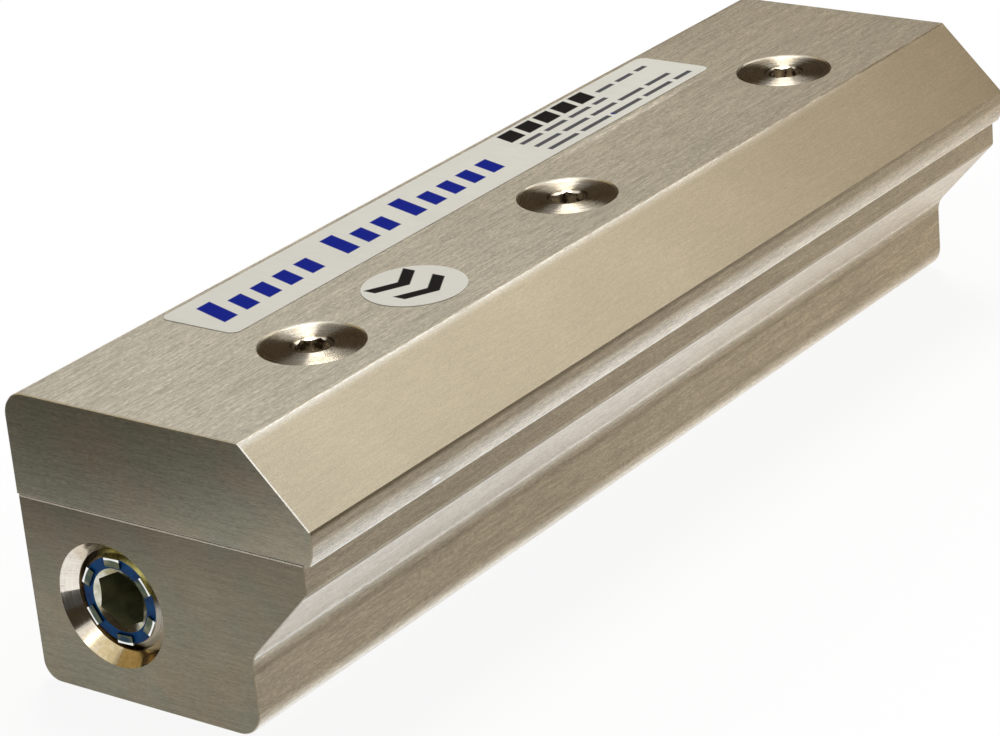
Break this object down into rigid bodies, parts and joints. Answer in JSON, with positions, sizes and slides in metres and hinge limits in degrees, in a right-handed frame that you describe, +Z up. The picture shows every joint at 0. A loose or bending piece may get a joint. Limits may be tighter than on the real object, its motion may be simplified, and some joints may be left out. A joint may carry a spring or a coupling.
{
  "type": "compressed air knife",
  "caption": "Stainless steel compressed air knife with a chamfered cap, undercut body, countersunk cap screws and a plugged end inlet.",
  "frame": {"origin": "centre of the footprint, on the underside of the body", "axes": "+X along the knife, away from the plugged inlet; air leaves the slot towards -Y; +Z up through the cap"},
  "size_m": [0.1524, 0.0434, 0.0367],
  "materials": {
    "body_steel": "brushed",
    "cap_steel": "brushed",
    "shim_steel": "rolled",
    "screw_steel": "turned",
    "plug_steel": "plated, with blue on the face",
    "label_film": "satin printed film"
  },
  "bodies": {
    "root": {"body": "body_steel", "cap": "cap_steel", "shim": "shim_steel", "cap_screw_1": "screw_steel", "cap_screw_2": "screw_steel", "cap_screw_3": "screw_steel", "end_plug": "plug_steel", "label_strip": "label_film", "round_label": "label_film"}
  },
  "joints": []
}
